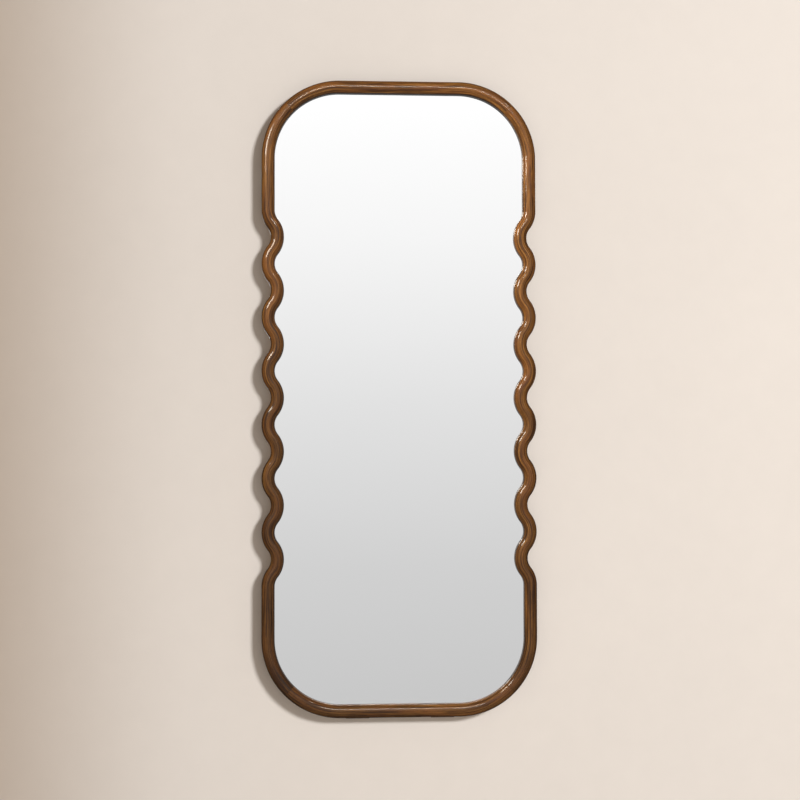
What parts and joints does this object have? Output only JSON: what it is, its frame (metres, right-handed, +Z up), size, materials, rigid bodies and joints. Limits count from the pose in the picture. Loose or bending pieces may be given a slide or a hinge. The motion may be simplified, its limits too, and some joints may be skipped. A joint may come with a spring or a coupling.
{
  "type": "wall mirror",
  "caption": "Tall mirror in a stained wood frame with round corners and wavy sides, with rings behind for wall hooks and pads below for leaning.",
  "frame": {"origin": "middle of the mirror on the wall plane that the rear bumpers touch", "axes": "+Z up, +Y into the wall, +X to the right of someone who looks at the mirror"},
  "size_m": [0.714, 0.038, 1.6515],
  "materials": {
    "frame_wood": "satin lacquer over walnut stain",
    "dowel_wood": "plain beech",
    "silvered_glass": "polished float glass, silvered behind",
    "safety_film": "matt film",
    "cushion_foam": "closed-cell foam",
    "block_rubber": "firm rubber",
    "board_fibre": "raw fibreboard",
    "plated_sheet": "zinc plate",
    "plated_screw": "zinc plate",
    "ring_wire": "bright zinc plate",
    "bumper_rubber": "moulded matt rubber",
    "pad_felt": "pressed felt"
  },
  "bodies": {
    "mirror_body": {"right_stile": "frame_wood", "left_stile": "frame_wood", "top_rail": "frame_wood", "bottom_rail": "frame_wood", "dowels_top_left": "dowel_wood", "dowels_top_right": "dowel_wood", "dowels_bottom_left": "dowel_wood", "dowels_bottom_right": "dowel_wood", "mirror_glass": "silvered_glass", "safety_film": "safety_film", "cushion_tape_top": "cushion_foam", "cushion_tape_bottom": "cushion_foam", "cushion_tape_left": "cushion_foam", "cushion_tape_right": "cushion_foam", "setting_blocks": "block_rubber", "edge_spacers": "block_rubber", "backing_board": "board_fibre", "turn_button_screws": "plated_screw", "hanger_strap_left": "plated_sheet", "hanger_strap_right": "plated_sheet", "hanger_screws": "plated_screw", "bumper_screws": "plated_screw", "wall_bumper_top_left": "bumper_rubber", "wall_bumper_top_right": "bumper_rubber", "wall_bumper_bottom_left": "bumper_rubber", "wall_bumper_bottom_right": "bumper_rubber", "floor_pad_left": "pad_felt", "floor_pad_right": "pad_felt"},
    "turn_button_left_1": {"turn_button_left_1": "plated_sheet"},
    "turn_button_left_2": {"turn_button_left_2": "plated_sheet"},
    "turn_button_left_3": {"turn_button_left_3": "plated_sheet"},
    "turn_button_left_4": {"turn_button_left_4": "plated_sheet"},
    "turn_button_right_1": {"turn_button_right_1": "plated_sheet"},
    "turn_button_right_2": {"turn_button_right_2": "plated_sheet"},
    "turn_button_right_3": {"turn_button_right_3": "plated_sheet"},
    "turn_button_right_4": {"turn_button_right_4": "plated_sheet"},
    "turn_button_top_left": {"turn_button_top_left": "plated_sheet"},
    "turn_button_top_right": {"turn_button_top_right": "plated_sheet"},
    "turn_button_bottom_left": {"turn_button_bottom_left": "plated_sheet"},
    "turn_button_bottom_right": {"turn_button_bottom_right": "plated_sheet"},
    "hanger_ring_left": {"hanger_ring_left": "ring_wire"},
    "hanger_ring_right": {"hanger_ring_right": "ring_wire"}
  },
  "joints": [
    {"name": "turn_button_left_1_swivel", "type": "hinge", "parent": "mirror_body", "child": "turn_button_left_1", "pos_m": [-0.3425, -0.008, 0.3475], "axis": [0, 1, 0], "continuous": true},
    {"name": "turn_button_left_2_swivel", "type": "hinge", "parent": "mirror_body", "child": "turn_button_left_2", "pos_m": [-0.3425, -0.008, 0.0695], "axis": [0, 1, 0], "continuous": true},
    {"name": "turn_button_left_3_swivel", "type": "hinge", "parent": "mirror_body", "child": "turn_button_left_3", "pos_m": [-0.3425, -0.008, -0.0695], "axis": [0, 1, 0], "continuous": true},
    {"name": "turn_button_left_4_swivel", "type": "hinge", "parent": "mirror_body", "child": "turn_button_left_4", "pos_m": [-0.3425, -0.008, -0.3475], "axis": [0, 1, 0], "continuous": true},
    {"name": "turn_button_right_1_swivel", "type": "hinge", "parent": "mirror_body", "child": "turn_button_right_1", "pos_m": [0.3425, -0.008, 0.3475], "axis": [0, 1, 0], "continuous": true},
    {"name": "turn_button_right_2_swivel", "type": "hinge", "parent": "mirror_body", "child": "turn_button_right_2", "pos_m": [0.3425, -0.008, 0.0695], "axis": [0, 1, 0], "continuous": true},
    {"name": "turn_button_right_3_swivel", "type": "hinge", "parent": "mirror_body", "child": "turn_button_right_3", "pos_m": [0.3425, -0.008, -0.0695], "axis": [0, 1, 0], "continuous": true},
    {"name": "turn_button_right_4_swivel", "type": "hinge", "parent": "mirror_body", "child": "turn_button_right_4", "pos_m": [0.3425, -0.008, -0.3475], "axis": [0, 1, 0], "continuous": true},
    {"name": "turn_button_top_left_swivel", "type": "hinge", "parent": "mirror_body", "child": "turn_button_top_left", "pos_m": [-0.115, -0.008, 0.8105], "axis": [0, 1, 0], "continuous": true},
    {"name": "turn_button_top_right_swivel", "type": "hinge", "parent": "mirror_body", "child": "turn_button_top_right", "pos_m": [0.115, -0.008, 0.8105], "axis": [0, 1, 0], "continuous": true},
    {"name": "turn_button_bottom_left_swivel", "type": "hinge", "parent": "mirror_body", "child": "turn_button_bottom_left", "pos_m": [-0.115, -0.008, -0.8105], "axis": [0, 1, 0], "continuous": true},
    {"name": "turn_button_bottom_right_swivel", "type": "hinge", "parent": "mirror_body", "child": "turn_button_bottom_right", "pos_m": [0.115, -0.008, -0.8105], "axis": [0, 1, 0], "continuous": true},
    {"name": "hanger_ring_left_swing", "type": "hinge", "parent": "mirror_body", "child": "hanger_ring_left", "pos_m": [-0.3425, -0.00495, 0.586], "axis": [1, 0, 0], "range_deg": [0, 178]},
    {"name": "hanger_ring_right_swing", "type": "hinge", "parent": "mirror_body", "child": "hanger_ring_right", "pos_m": [0.3425, -0.00495, 0.586], "axis": [1, 0, 0], "range_deg": [0, 178]}
  ]
}
